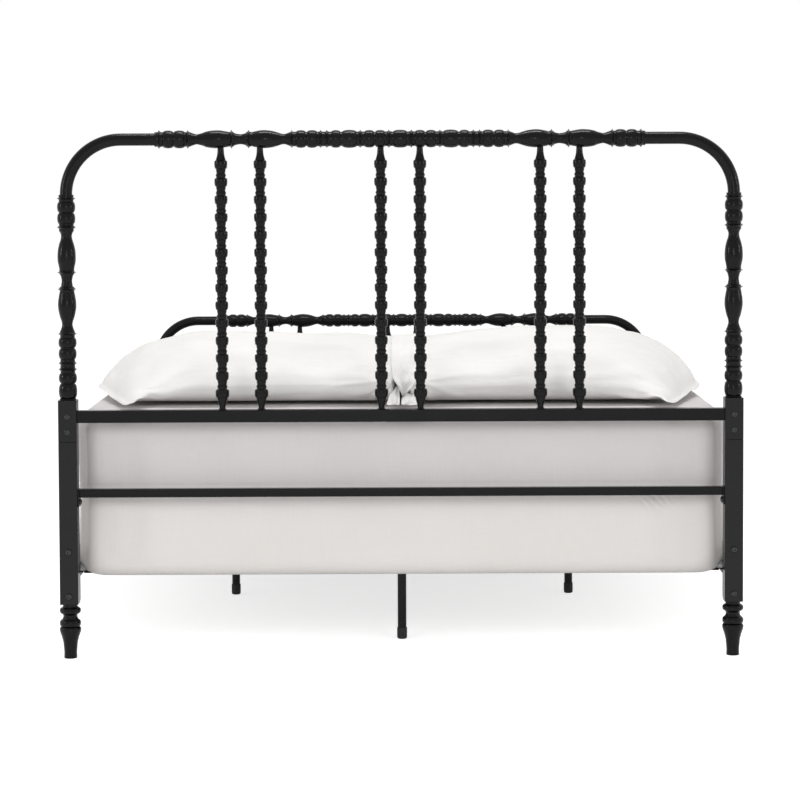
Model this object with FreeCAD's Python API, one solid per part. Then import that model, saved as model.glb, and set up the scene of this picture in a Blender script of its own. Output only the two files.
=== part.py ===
import FreeCAD, Part
import math
import os

# A full-size spindle bed: two arched metal boards with turned castings and bead spindles, a steel
# base, a mattress and two pillows. Millimetres, +Z up, origin on the floor under the middle of the
# bed. The headboard stands at -Y, and +X is to the right for someone who looks along +Y.
# Round pieces are many-sided: what repeats most, the spindles, has the fewest sides.

Vector = FreeCAD.Vector
X_AXIS = Vector(1, 0, 0)
Y_AXIS = Vector(0, 1, 0)

# ---- Driving dimensions ----

# The two boards
mattress_length = 1905.0
mattress_width = 1350.0
mattress_end_gap = 10.0  # from the mattress to the legs of each board
mattress_side_gap = 26.05  # from the mattress to the upright web of each side rail
leg_side = 38.1
leg_wall = 1.5
leg_bottom = 113.0  # height of the square legs above the floor
cap_plate = 2.0  # plates that close the square tubes
head_axis = 1069.0  # height of the headboard's top tube
foot_axis = 586.0  # height of the footboard's top tube
arch_radius = 12.7
arch_wall = 1.2
bend_radius = 112.5  # of the arch tube's centre line
bend_steps = 6
ornament_half_length = 502.5  # from the middle of the board to where the plain tube shows
socket_depth = 20.0  # how far the arch tube reaches into its castings
joint_place = 218.5  # from the middle of the board to the end of the centre casting
dowel_radius = 6.0  # spigots of the centre casting
dowel_length = 22.0
round_sides = 8
small_sides = 6

# Headboard's square pieces
seam_height = 449.0  # where the upper part of the headboard lifts off the legs
stub_length = 86.0
upper_rail_rise = 51.5  # from the seam to the upper rail's centre
upper_rail_side = 25.4
rail_wall = 1.5
lower_rail_height = 342.0
lower_rail_side = 17.5
sleeve_wall = 2.5
sleeve_above_seam = 66.0
sleeve_below_seam = 60.0
lug_thickness = 3.0  # end plates of the lower rail
lug_depth = 34.0
lug_below_rail = 19.0
stub_bolt_rises = (52.4, 20.6)  # from the seam

# Footboard's square pieces
foot_leg_top = 269.0
foot_rail_height = 234.6

# Turned work
groove_radius = 14.8
bead_crest = 18.4
big_bead_crest = 18.8
ring_crest = 17.4
collar_crest = 18.4
vase_crest = 18.7
neck_radius = 10.7
spigot_radius = 10.0
spigot_length = 12.0
# Lengths of the turned stretches before a casting's work is stretched to its span
bead_length = 21.5
big_bead_length = 30.5
ring_length = 14.0
collar_length = 7.0
neck_length = 26.0
vase_length = 54.0
end_ring_length = 3.0
end_fillet_length = 5.5

# Feet, with lengths before they are stretched to the space under the leg
foot_tip_radius = 13.4
foot_shank_radius = 14.4
foot_shank_length = 26.0
foot_bulge_radius = 22.1
foot_bulge_length = 40.0
foot_torus_radius = 21.9
foot_torus_length = 16.0
foot_neck_radius = 15.0
foot_neck_length = 8.0

# Spindles
spindle_places = (40.2, 287.2, 367.6)  # on each side of the middle
bead_pitch = 36.2
first_bead_drop = 52.0  # from the top tube's centre to the first bead's
last_bead_rise = 46.0  # from the cross rail's centre to the last bead's
spindle_bead_radius = 13.1
spindle_bead_length = 16.0
spindle_cove_radius = 9.2
spindle_neck_radius = 6.2
spindle_flare_radius = 9.0
spindle_flare_height = 2.0
spindle_shoulder = 3.5  # from an end bead's edge to where its taper starts
spindle_taper = 10.0
spindle_tenon_radius = 4.5
spindle_tenon_length = 6.0
spindle_top_depth = 10.0  # how far a neck reaches into its casting

# Base
angle_side = 38.1
angle_thickness = 3.0
angle_bottom = 166.0
end_plate_bottom = 116.0
end_plate_top = 236.0
bracket_bolt_heights = (222.0, 130.0)
slat_count = 16
slat_width = 40.0
slat_thickness = 2.0
slat_lip_depth = 5.0  # from the slat's top face to the edge of its lip
slat_end_clearance = 1.0
slat_edge_distance = 85.0  # from a board's centre plane to its nearest slat's centre
slats_per_group = 4
support_radius = 9.5
support_wall = 1.2
cap_radius = 10.8
cap_height = 25.0
cap_floor = 4.0
centre_support_slat_numbers = (1, 14)  # counted from the headboard, from 0
side_support_slat_numbers = (6, 9)
side_support_place = 395.0

# Bolts
bracket_bolt_radius = 4.0
bracket_head_radius = 6.8
bracket_head_height = 4.5
small_bolt_radius = 3.0
small_head_radius = 6.2
stub_head_height = 3.0
rail_head_height = 4.0
bolt_end = 4.0  # how far a bolt reaches past the last wall

# Mattress and pillows
mattress_height = 345.0
mattress_edge = 38.0  # how far its rounded edges draw in
mattress_corner = 75.0  # its corners seen from above
mattress_crown = 5.0
mattress_waist = 3.0  # how far its sides draw in at mid height
pillow_length = 654.0
pillow_depth = 470.0
pillow_height = 138.0
pillow_seam = 12.0
pillow_place = 335.0  # from the bed's middle to a pillow's
pillow_setback = 50.0  # from the headboard's centre plane to the pillow's edge
pillow_sections = 11
pillow_points = 14

# Clearances
fit = 0.1  # around a spigot, a dowel, a tube or a tenon in its hole
soft_gap = 0.3  # under the mattress and the pillows

# ---- Worked out from the driving dimensions ----

post_place = mattress_width / 2 + mattress_side_gap + angle_thickness - leg_side / 2
leg_inner_place = post_place - leg_side / 2
board_spacing = mattress_length + 2 * mattress_end_gap + leg_side
head_plane = -board_spacing / 2
foot_plane = board_spacing / 2
leg_bore = leg_side - 2 * leg_wall
stub_top = seam_height + stub_length
upper_rail_height = seam_height + upper_rail_rise
stub_bolt_heights = [seam_height + rise for rise in stub_bolt_rises]
slat_bottom = angle_bottom + angle_thickness
slat_top = slat_bottom + slat_thickness
mattress_bottom = slat_top + soft_gap
mattress_top = mattress_bottom + mattress_height

os.makedirs("parts", exist_ok=True)


def export(name, *solids):
    """Writes one node: a single solid, or a group of equal pieces."""
    shape = solids[0] if len(solids) == 1 else Part.makeCompound(list(solids))
    shape.exportStep("parts/" + name + ".step")


# ---- Building blocks ----


def box(x_range, y_range, z_range):
    """A block between two places on each axis."""
    low = Vector(x_range[0], y_range[0], z_range[0])
    size = Vector(x_range[1], y_range[1], z_range[1]) - low
    return Part.makeBox(size.x, size.y, size.z, low)


def span(middle, length):
    """The two ends of a length about its middle."""
    return (middle - length / 2, middle + length / 2)


def flat_face(points):
    """The flat face inside a loop of points."""
    return Part.Face(Part.makePolygon(points + points[:1]))


def patch(a, b, c, d):
    """What joins two neighbouring edges: one flat face, or two where the four corners are not flat."""
    normal = (b - a).cross(c - a)
    if abs(normal.dot(d - a)) < 1e-6 * max(normal.Length, 1.0):
        return [flat_face([a, b, c, d])]
    return [flat_face([a, b, c]), flat_face([a, c, d])]


def skinned(sections, closed=False):
    """A solid over sections of equally many points; a closed one runs from the last to the first."""
    faces = []
    following = sections[1:] + (sections[:1] if closed else [])
    for low, high in zip(sections, following):
        for i in range(len(low)):
            j = (i + 1) % len(low)
            faces += patch(low[i], low[j], high[j], high[i])
    if not closed:
        faces += [flat_face(sections[0]), flat_face(sections[-1])]
    solid = Part.Solid(Part.Shell(faces))
    if solid.Volume < 0:
        solid.reverse()
    return solid


def circle_points(radius, height, sides):
    """The corners of a many-sided circle about +Z, with one corner on +X."""
    turn = 2 * math.pi / sides
    return [
        Vector(radius * math.cos(turn * i), radius * math.sin(turn * i), height)
        for i in range(sides)
    ]


def turned(outline, sides=round_sides):
    """A turned solid about +Z from its outline, (height, radius) from one end of the axis to the other."""
    return skinned([circle_points(radius, height, sides) for height, radius in outline])


def turned_tube(outline, sides=round_sides):
    """The same for an outline that is a closed loop and leaves the axis open."""
    sections = [circle_points(radius, height, sides) for height, radius in outline]
    return skinned(sections, closed=True)


def rod(radius, start, end, sides=round_sides):
    """A plain round bar about +Z."""
    return turned([(start, radius), (end, radius)], sides)


def along_x(solid):
    """Lays a piece that was made about +Z along +X, so that its +X side points down."""
    solid.rotate(Vector(0, 0, 0), Y_AXIS, 90)
    return solid


def towards_y(solid):
    """Lays a piece that was made about +Z so that its +Z end points to -Y."""
    solid.rotate(Vector(0, 0, 0), X_AXIS, 90)
    return solid


def moved(solid, x, y, z):
    """A copy of a piece at another place."""
    copy = solid.copy()
    copy.translate(Vector(x, y, z))
    return copy


def mirrored(solid):
    """The same piece on the other side of the bed."""
    return solid.mirror(Vector(0, 0, 0), X_AXIS)


class Outline:
    """The outline of turned work. Each call adds its next stretch along the axis."""

    def __init__(self, radius=groove_radius):
        self.points = [(0.0, radius)]

    def to(self, length, radius):
        """A taper over a length."""
        self.points.append((self.points[-1][0] + length, radius))
        return self

    def bead(self, length=bead_length, crest=bead_crest):
        """A rounded swell between two grooves."""
        return self.to(0.3 * length, crest).to(0.4 * length, crest).to(0.3 * length, groove_radius)

    def big_bead(self):
        """The longer and fuller bead."""
        return self.bead(big_bead_length, big_bead_crest)

    def ring(self, length=ring_length, crest=ring_crest):
        """A narrow ridge between two grooves."""
        return self.to(0.5 * length, crest).to(0.5 * length, groove_radius)

    def collar(self):
        """A sharp ring at the end of a vase or a neck."""
        return self.ring(collar_length, collar_crest)

    def neck(self):
        """The waist of a turning, and its rise to the foot of a vase."""
        return self.to(0.45 * neck_length, neck_radius).to(0.55 * neck_length, 0.75 * vase_crest)

    def vase(self):
        """A long swell, fullest near its middle."""
        self.to(0.25 * vase_length, 0.92 * vase_crest).to(0.3 * vase_length, vase_crest)
        return self.to(0.45 * vase_length, 0.82 * vase_crest)

    def between(self, start, end):
        """The outline's points, stretched so that the work runs from start to end."""
        stretch = (end - start) / self.points[-1][0]
        return [(start + stretch * place, radius) for place, radius in self.points]


# ---- Headboard and footboard: the arch of castings and tube ----


def centre_casting(axis_height):
    """The casting in the middle of an arch: beads with rings among them, and a dowel at each end."""
    work = Outline(big_bead_crest)
    work.to(0.2 * big_bead_length, big_bead_crest).to(0.3 * big_bead_length, groove_radius)
    work.ring().bead().bead().ring().big_bead().bead().ring().ring().bead().bead()
    work.to(end_fillet_length, groove_radius)
    half = work.between(0.0, joint_place)[1:]
    half += [(joint_place, dowel_radius), (joint_place + dowel_length, dowel_radius)]
    left_half = [(-place, radius) for place, radius in reversed(half)]
    casting = along_x(turned(left_half + half))
    casting.translate(Vector(0, 0, axis_height))
    return casting.cut(spindle_holes(axis_height, spindle_places[:1]))


def side_casting(axis_height):
    """The casting between the centre casting and the right elbow: two vases, beads and rings."""
    work = Outline().collar().neck().vase().ring().neck().collar().vase().neck()
    work.ring().bead().bead().ring()
    dowel_socket = [(joint_place + dowel_length, dowel_radius + fit), (joint_place, dowel_radius + fit)]
    outline = dowel_socket + work.between(joint_place, ornament_half_length)
    casting = along_x(turned(outline + tube_socket(ornament_half_length)))
    casting.translate(Vector(0, 0, axis_height))
    return casting.cut(spindle_holes(axis_height, spindle_places[1:]))


def tube_socket(mouth):
    """The end of a casting's outline: the socket that takes the arch tube, from its mouth inwards."""
    return [(mouth, arch_radius + fit), (mouth - socket_depth, arch_radius + fit)]


def spindle_holes(axis_height, places):
    """The blind holes in a casting's underside, for the necks of the spindles on both sides."""
    hole = rod(spindle_neck_radius + fit, 0.0, 2 * big_bead_crest, small_sides)
    top = axis_height - vase_crest + spindle_top_depth
    sides = [side * place for place in places for side in (1, -1)]
    return Part.makeCompound([moved(hole, place, 0, top - 2 * big_bead_crest) for place in sides])


def elbow(axis_height):
    """The right elbow of an arch: a tube with a quarter bend, its ends pushed into the castings."""
    bend_centre = Vector(post_place - bend_radius, 0, axis_height - bend_radius)
    run_start = ornament_half_length - socket_depth

    def section(radius, turn, shift):
        outward = Vector(math.sin(turn), 0, math.cos(turn))
        middle = bend_centre + outward * bend_radius + shift
        return [
            middle + outward * (radius * math.cos(angle)) + Y_AXIS * (radius * math.sin(angle))
            for angle in [2 * math.pi * i / round_sides for i in range(round_sides)]
        ]

    def tube_sections(radius):
        sections = [section(radius, 0.0, Vector(run_start - bend_centre.x, 0, 0))]
        for step in range(bend_steps + 1):
            sections.append(section(radius, 0.5 * math.pi * step / bend_steps, Vector()))
        sections.append(section(radius, 0.5 * math.pi, Vector(0, 0, -socket_depth)))
        return sections

    inner = tube_sections(arch_radius - arch_wall)
    return skinned(tube_sections(arch_radius) + inner[::-1], closed=True)


def post_casting(axis_height, seat, work):
    """A post casting at the right: a spigot in the square tube, its turned work and the tube's socket."""
    top = axis_height - bend_radius
    spigot = [(seat - spigot_length, spigot_radius), (seat, spigot_radius)]
    outline = spigot + work.between(seat, top) + tube_socket(top)
    return moved(turned(outline), post_place, 0, 0)


def head_post_work():
    """The turned work of a headboard post, from its foot to the arch: two vases among beads."""
    work = Outline(ring_crest).to(end_ring_length, groove_radius).big_bead().bead().ring().ring()
    work.bead().bead().ring().neck().vase().collar().neck().collar().vase().neck().collar()
    return work.bead().bead().ring()


def foot_post_work():
    """The turned work of a footboard post, which has one vase."""
    work = Outline(ring_crest).to(end_ring_length, groove_radius).big_bead().ring()
    return work.neck().vase().collar().neck().collar().bead().ring()


def spindle(axis_height, rail_height):
    """One spindle about +Z: a tenon, a flare on the rail, beads at an even pitch and a plain neck."""
    rail_top = rail_height + upper_rail_side / 2
    last_bead = rail_height + last_bead_rise
    first_bead = axis_height - first_bead_drop
    beads = round((first_bead - last_bead) / bead_pitch) + 1
    pitch = (first_bead - last_bead) / (beads - 1)
    half_bead = spindle_bead_length / 2
    outline = [
        (rail_top - spindle_tenon_length, spindle_tenon_radius),
        (rail_top, spindle_tenon_radius),
        (rail_top, spindle_flare_radius),
        (rail_top + spindle_flare_height, spindle_neck_radius),
        (last_bead - half_bead - spindle_shoulder, spindle_cove_radius),
    ]
    for k in range(beads):
        middle = last_bead + k * pitch
        outline.append((middle - half_bead, spindle_bead_radius))
        outline.append((middle + half_bead, spindle_bead_radius))
        if k < beads - 1:
            outline.append((middle + pitch / 2, spindle_cove_radius))
    shoulder = first_bead + half_bead + spindle_shoulder
    outline.append((shoulder, spindle_cove_radius))
    outline.append((shoulder + spindle_taper, spindle_neck_radius))
    outline.append((axis_height - vase_crest + spindle_top_depth, spindle_neck_radius))
    return turned(outline, small_sides)


def signed(places):
    """Each place of a list on the left, then each on the right, from left to right."""
    return [-place for place in reversed(places)] + list(places)


def cross_rail(rail_height):
    """A square tube between the legs, with a hole for each spindle's tenon in its upper wall."""
    lengthwise = span(0.0, 2 * leg_inner_place)
    outside = box(lengthwise, span(0.0, upper_rail_side), span(rail_height, upper_rail_side))
    bore = upper_rail_side - 2 * rail_wall
    rail = outside.cut(box(lengthwise, span(0.0, bore), span(rail_height, bore)))
    hole = rod(spindle_tenon_radius + fit, rail_height, rail_height + upper_rail_side, small_sides)
    return rail.cut(Part.makeCompound([moved(hole, x, 0, 0) for x in signed(spindle_places)]))


# ---- Legs, stubs and feet ----


def square_tube(bottom, top, plates):
    """A square tube about a post's axis; plates names the ends that a plate with a hole closes."""
    tube = box(span(post_place, leg_side), span(0, leg_side), (bottom, top))
    inside_bottom = bottom + (cap_plate if "bottom" in plates else 0.0)
    inside_top = top - (cap_plate if "top" in plates else 0.0)
    bore = span(post_place, leg_bore), span(0, leg_bore)
    tube = tube.cut(box(bore[0], bore[1], (inside_bottom, inside_top)))
    if "bottom" in plates:
        tube = tube.cut(moved(rod(spigot_radius + fit, bottom, inside_bottom), post_place, 0, 0))
    if "top" in plates:
        tube = tube.cut(moved(rod(spigot_radius + fit, inside_top, top), post_place, 0, 0))
    return tube


def bolt(radius, head_radius, head_height, reach):
    """A domed bolt about +Z, with its head above 0 and its shank below."""
    return turned(
        [
            (-reach, radius),
            (0.0, radius),
            (0.0, head_radius),
            (0.5 * head_height, 0.9 * head_radius),
            (head_height, 0.5 * head_radius),
        ],
        small_sides,
    )


def bolt_hole(radius, length):
    """What a bolt of this radius takes out of the walls that it passes, in line with bolt()."""
    return rod(radius + fit, -length, length, small_sides)


def bracket_holes():
    """The holes through a right leg for the bolts of the side rail."""
    hole = towards_y(bolt_hole(bracket_bolt_radius, leg_side))
    return Part.makeCompound([moved(hole, post_place, 0, z) for z in bracket_bolt_heights])


def lug_bolt_height():
    """Where the bolt of the lower rail's end plate stands, in the plate's part below the rail."""
    return lower_rail_height - lower_rail_side / 2 - lug_below_rail / 2


def lug_bolt_hole():
    """The hole in a right leg's inner wall for that bolt."""
    hole = along_x(bolt_hole(small_bolt_radius, leg_side / 2))
    return moved(hole, leg_inner_place, 0, lug_bolt_height())


def stub_bolt_holes():
    """The holes in the front walls of a right stub and its sleeve."""
    hole = towards_y(bolt_hole(small_bolt_radius, leg_side / 4))
    return Part.makeCompound(
        [moved(hole, post_place, -leg_side / 2, z) for z in stub_bolt_heights]
    )


def head_leg():
    """A headboard leg: its top is open for the sleeve."""
    return square_tube(leg_bottom, seam_height, ["bottom"]).cut(bracket_holes()).cut(lug_bolt_hole())


def foot_leg():
    """A footboard leg, closed at both ends."""
    return square_tube(leg_bottom, foot_leg_top, ["bottom", "top"]).cut(bracket_holes())


def stub():
    """The square tube under a headboard post casting."""
    return square_tube(seam_height, stub_top, ["top"]).cut(stub_bolt_holes())


def leg_sleeve():
    """The square sleeve inside a stub and a leg, across the seam."""
    side = leg_bore - 2 * fit
    heights = (seam_height - sleeve_below_seam, seam_height + sleeve_above_seam)
    sleeve = box(span(post_place, side), span(0, side), heights)
    bore = side - 2 * sleeve_wall
    sleeve = sleeve.cut(box(span(post_place, bore), span(0, bore), heights))
    return sleeve.cut(stub_bolt_holes())


def turned_foot():
    """A turned foot under a leg: a long taper and a bulge, then two tori with a neck between them."""
    foot = Outline(foot_tip_radius).to(foot_shank_length, foot_shank_radius)
    foot.to(0.6 * foot_bulge_length, 0.92 * foot_bulge_radius)
    foot.to(0.2 * foot_bulge_length, foot_bulge_radius)
    foot.to(0.2 * foot_bulge_length, 0.85 * foot_bulge_radius)
    for _ in range(2):
        foot.to(0.3 * foot_torus_length, foot_torus_radius)
        foot.to(0.4 * foot_torus_length, foot_torus_radius)
        foot.to(0.3 * foot_torus_length, foot_neck_radius).to(foot_neck_length, foot_neck_radius)
    spigot = [(leg_bottom, spigot_radius), (leg_bottom + spigot_length, spigot_radius)]
    return moved(turned(foot.between(0.0, leg_bottom) + spigot), post_place, 0, 0)


# ---- Lower rail of the headboard and the bolts ----


def lower_rail():
    """The thin cross rail with an end plate at each end, which hangs below it for the bolt."""
    lug_low = lower_rail_height - lower_rail_side / 2 - lug_below_rail
    lug_high = lower_rail_height + lower_rail_side / 2
    rail_end = leg_inner_place - lug_thickness
    heights = span(lower_rail_height, lower_rail_side)
    rail = box((-rail_end, rail_end), span(0, lower_rail_side), heights)
    bore = lower_rail_side - 2 * rail_wall
    rail = rail.cut(box((-rail_end, rail_end), span(0, bore), span(lower_rail_height, bore)))
    lug = box((rail_end, leg_inner_place), span(0, lug_depth), (lug_low, lug_high))
    lug = lug.cut(lug_bolt_hole())
    return rail.fuse(lug).fuse(mirrored(lug))


def lower_rail_bolt():
    """The bolt of the right end plate, with its head towards the middle of the bed."""
    reach = lug_thickness + leg_wall + bolt_end
    piece = bolt(small_bolt_radius, small_head_radius, rail_head_height, reach)
    piece.rotate(Vector(0, 0, 0), Y_AXIS, -90)
    return moved(piece, leg_inner_place - lug_thickness, 0, lug_bolt_height())


def stub_bolts():
    """The two bolts in the front of the right stub."""
    reach = leg_wall + fit + sleeve_wall + bolt_end
    piece = towards_y(bolt(small_bolt_radius, small_head_radius, stub_head_height, reach))
    return [moved(piece, post_place, -leg_side / 2, z) for z in stub_bolt_heights]


def bracket_bolts():
    """The two bolts through a right leg and the side rail's end plate, heads on the leg's outer face."""
    reach = leg_side + angle_thickness + bolt_end
    piece = bolt(bracket_bolt_radius, bracket_head_radius, bracket_head_height, reach)
    piece = towards_y(piece)
    return [moved(piece, post_place, -leg_side / 2, z) for z in bracket_bolt_heights]


# ---- Base ----


def side_rail():
    """The right side rail: angle iron with its flange inwards, and a bolt plate at each end."""
    rail_end = board_spacing / 2 - leg_side / 2
    outer = post_place + leg_side / 2
    lengthwise = (angle_thickness - rail_end, rail_end - angle_thickness)
    web = box((outer - angle_thickness, outer), lengthwise, (angle_bottom, angle_bottom + angle_side))
    flange = box((outer - angle_side, outer), lengthwise, (angle_bottom, slat_bottom))
    plate_z = (end_plate_bottom, end_plate_top)
    plate = box(span(post_place, leg_side), (-rail_end, angle_thickness - rail_end), plate_z)
    hole = towards_y(bolt_hole(bracket_bolt_radius, leg_side))
    for height in bracket_bolt_heights:
        plate = plate.cut(moved(hole, post_place, -rail_end, height))
    far_plate = plate.mirror(Vector(0, 0, 0), Y_AXIS)
    return web.fuse([flange, plate, far_plate]).removeSplitter()


def slat_place(number):
    """The Y of a slat's middle."""
    pitch = (board_spacing - 2 * slat_edge_distance) / (slat_count - 1)
    return head_plane + slat_edge_distance + number * pitch


def slat(number):
    """A shallow steel channel across the rails, with its lips cut short at the flanges."""
    middle = slat_place(number)
    outer = post_place + leg_side / 2
    end = outer - angle_thickness - slat_end_clearance
    lip_end = outer - angle_side - slat_end_clearance
    channel = box((-end, end), span(middle, slat_width), (slat_bottom, slat_top))
    for side in (-1, 1):
        edge = middle + side * (slat_width - slat_thickness) / 2
        heights = (slat_top - slat_lip_depth, slat_bottom)
        channel = channel.fuse(box((-lip_end, lip_end), span(edge, slat_thickness), heights))
    return channel.removeSplitter()


def support_places():
    """Where the support legs stand: one under each centre slat, two under each side slat."""
    places = [(0.0, slat_place(number)) for number in centre_support_slat_numbers]
    for number in side_support_slat_numbers:
        places += [(-side_support_place, slat_place(number)), (side_support_place, slat_place(number))]
    return sorted(places, key=lambda place: (place[1], place[0]))


def support_leg():
    """A support leg about +Z: a tube from its cap to the slat."""
    bore = support_radius - support_wall
    return turned_tube(
        [
            (cap_floor, bore),
            (cap_floor, support_radius),
            (slat_bottom, support_radius),
            (slat_bottom, bore),
        ],
        small_sides,
    )


def support_cap():
    """The cap on a support leg's lower end."""
    return turned(
        [
            (0.0, 0.8 * cap_radius),
            (0.5 * cap_floor, cap_radius),
            (cap_height, cap_radius),
            (cap_height, support_radius + fit),
            (cap_floor, support_radius + fit),
        ],
        small_sides,
    )


# ---- Mattress and pillows ----


def rounded_rectangle(inset, height):
    """A level loop with round corners, drawn in from the mattress's widest outline."""
    radius = mattress_corner - 0.5 * min(inset, mattress_corner)
    half = (mattress_width / 2 - inset - radius, mattress_length / 2 - inset - radius)
    points = []
    for corner, (sign_x, sign_y) in enumerate([(1, 1), (-1, 1), (-1, -1), (1, -1)]):
        for step in range(4):
            angle = 0.5 * math.pi * (corner + step / 3)
            x = sign_x * half[0] + radius * math.cos(angle)
            y = sign_y * half[1] + radius * math.sin(angle)
            points.append(Vector(x, y, height))
    return points


def mattress():
    """The mattress: rounded edges, sides drawn in at mid height and a crowned top."""
    low = mattress_bottom
    high = mattress_top - mattress_crown
    sections = [
        rounded_rectangle(mattress_edge, low),
        rounded_rectangle(0.3 * mattress_edge, low + 0.35 * mattress_edge),
        rounded_rectangle(0.0, low + 1.2 * mattress_edge),
        rounded_rectangle(mattress_waist, 0.5 * (low + high)),
        rounded_rectangle(0.0, high - 1.2 * mattress_edge),
        rounded_rectangle(0.3 * mattress_edge, high - 0.35 * mattress_edge),
        rounded_rectangle(mattress_edge, high),
        rounded_rectangle(5 * mattress_edge, mattress_top),
    ]
    return skinned(sections)


def pillow():
    """The right pillow: thin at its seam, crowned on top, flatter where it lies on the mattress."""
    low = mattress_top + soft_gap
    middle = head_plane + pillow_setback + pillow_depth / 2
    belly = 0.3 * pillow_height
    sections = []
    for k in range(pillow_sections):
        along = math.sin(0.5 * math.pi * (2 * k / (pillow_sections - 1) - 1))
        fullness = (1 - along**4) ** 0.6
        drawn_in = 0.06 * (1 - along**2)
        half_depth = pillow_depth / 2 * (1 - drawn_in)
        rise = pillow_seam / 2 + (pillow_height - belly - pillow_seam / 2) * fullness
        sink = pillow_seam / 2 + (belly - pillow_seam / 2) * fullness
        points = []
        for i in range(pillow_points):
            angle = 2 * math.pi * i / pillow_points
            up = math.sin(angle)
            height = rise * up if up > 0 else max(1.6 * sink * up, -sink)
            x = pillow_place + along * pillow_length / 2
            points.append(Vector(x, middle + half_depth * math.cos(angle), low + belly + height))
        sections.append(points)
    return skinned(sections)


# ---- The nodes ----


def both_sides(name, solid, board_plane):
    """A piece of the right side of a board and its mirror image on the left."""
    right = moved(solid, 0, board_plane, 0)
    export(name + "_right", right)
    export(name + "_left", mirrored(right))


def spindle_row(name, axis_height, rail_height, board_plane):
    """The six spindles of a board, numbered from left to right."""
    piece = spindle(axis_height, rail_height)
    for number, place in enumerate(signed(spindle_places), 1):
        export(name + "_spindle_" + str(number), moved(piece, place, board_plane, 0))


def arch(name, axis_height, post_seat, post_work, board_plane):
    """The castings and tubes over a board's posts."""
    export(name + "_centre_casting", moved(centre_casting(axis_height), 0, board_plane, 0))
    both_sides(name + "_side_casting", side_casting(axis_height), board_plane)
    both_sides(name + "_elbow", elbow(axis_height), board_plane)
    both_sides(name + "_post_casting", post_casting(axis_height, post_seat, post_work), board_plane)


def headboard():
    """The tall board, whose upper part lifts off its legs at the seam."""
    arch("head", head_axis, stub_top, head_post_work(), head_plane)
    spindle_row("head", head_axis, upper_rail_height, head_plane)
    export("head_upper_rail", moved(cross_rail(upper_rail_height), 0, head_plane, 0))
    both_sides("head_stub", stub(), head_plane)
    both_sides("head_leg", head_leg(), head_plane)
    both_sides("head_foot", turned_foot(), head_plane)
    sleeve = moved(leg_sleeve(), 0, head_plane, 0)
    export("head_leg_sleeves", sleeve, mirrored(sleeve))
    export("head_lower_rail", moved(lower_rail(), 0, head_plane, 0))
    rail_bolt = moved(lower_rail_bolt(), 0, head_plane, 0)
    export("lower_rail_bolts", rail_bolt, mirrored(rail_bolt))
    bolts = [moved(piece, 0, head_plane, 0) for piece in stub_bolts()]
    export("stub_bolts", *(bolts + [mirrored(piece) for piece in bolts]))


def footboard():
    """The low board, welded in one."""
    arch("foot", foot_axis, foot_leg_top, foot_post_work(), foot_plane)
    spindle_row("foot", foot_axis, foot_rail_height, foot_plane)
    export("foot_rail", moved(cross_rail(foot_rail_height), 0, foot_plane, 0))
    both_sides("foot_leg", foot_leg(), foot_plane)
    both_sides("foot_foot", turned_foot(), foot_plane)


def base():
    """What carries the mattress between the boards."""
    both_sides("side_rail", side_rail(), 0.0)
    near = [moved(piece, 0, head_plane, 0) for piece in bracket_bolts()]
    near += [mirrored(piece) for piece in near]
    far = [piece.mirror(Vector(0, 0, 0), Y_AXIS) for piece in near]
    export("side_rail_bolts", *(near + far))
    for first in range(0, slat_count, slats_per_group):
        group = [slat(number) for number in range(first, min(first + slats_per_group, slat_count))]
        export("slats_" + str(first // slats_per_group + 1), *group)
    leg = support_leg()
    cap = support_cap()
    for number, (x, y) in enumerate(support_places(), 1):
        export("support_leg_" + str(number), moved(leg, x, y, 0))
    export("support_leg_caps", *[moved(cap, x, y, 0) for x, y in support_places()])


headboard()
footboard()
base()
export("mattress", mattress())
both_sides("pillow", pillow(), 0.0)
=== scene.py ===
import math

import bmesh
import bpy
from mathutils import Matrix, Vector, noise
from mathutils.bvhtree import BVHTree


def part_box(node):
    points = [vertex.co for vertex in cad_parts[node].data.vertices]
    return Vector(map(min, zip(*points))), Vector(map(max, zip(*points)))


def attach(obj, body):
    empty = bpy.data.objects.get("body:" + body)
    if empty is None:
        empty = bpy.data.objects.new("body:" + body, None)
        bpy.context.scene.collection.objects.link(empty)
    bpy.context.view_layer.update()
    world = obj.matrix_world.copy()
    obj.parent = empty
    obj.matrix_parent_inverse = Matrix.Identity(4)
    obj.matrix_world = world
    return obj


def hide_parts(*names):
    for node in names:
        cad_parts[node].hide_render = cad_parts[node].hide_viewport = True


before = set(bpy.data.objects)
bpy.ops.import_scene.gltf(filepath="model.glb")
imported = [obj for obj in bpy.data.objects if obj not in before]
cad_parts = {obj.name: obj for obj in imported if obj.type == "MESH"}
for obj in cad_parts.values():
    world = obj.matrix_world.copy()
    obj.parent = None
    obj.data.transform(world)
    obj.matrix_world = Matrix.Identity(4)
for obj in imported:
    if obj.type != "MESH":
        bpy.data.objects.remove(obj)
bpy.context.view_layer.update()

# Lengths in this script are millimetres in the row frame until a mesh is made from them.
MM = 0.001

# The frame's own measures, as the CAD nodes have them
TUBE = 12.7  # the arch tube's radius and half a cross rail's side
HALF_LEG = 19.05
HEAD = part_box("head_upper_rail")[0].y / MM + TUBE
FOOT = -HEAD
POST = 685.0
LEG_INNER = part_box("head_upper_rail")[1].x / MM
HEAD_AXIS, FOOT_AXIS = 1069.0, 586.0
HEAD_RAIL, LOWER_RAIL, FOOT_RAIL = 500.5, 342.0, 234.6
BEND = 112.5
SEAM, STUB_TOP, LEG_BOTTOM, FOOT_LEG_TOP = 449.0, 535.0, 113.0, 269.0
PLATE = 3.0  # the thickness of angle iron and of every bolted plate
SLAT_LOW = 169.0
RAIL_LOW = SLAT_LOW - PLATE
MATTRESS_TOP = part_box("mattress")[1].z / MM
MATTRESS_SEAM = 342.0

ALONG_X, TO_HEAD, TO_FOOT = (1, 0, 0), (0, -1, 0), (0, 1, 0)


# ---------------- materials


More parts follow.
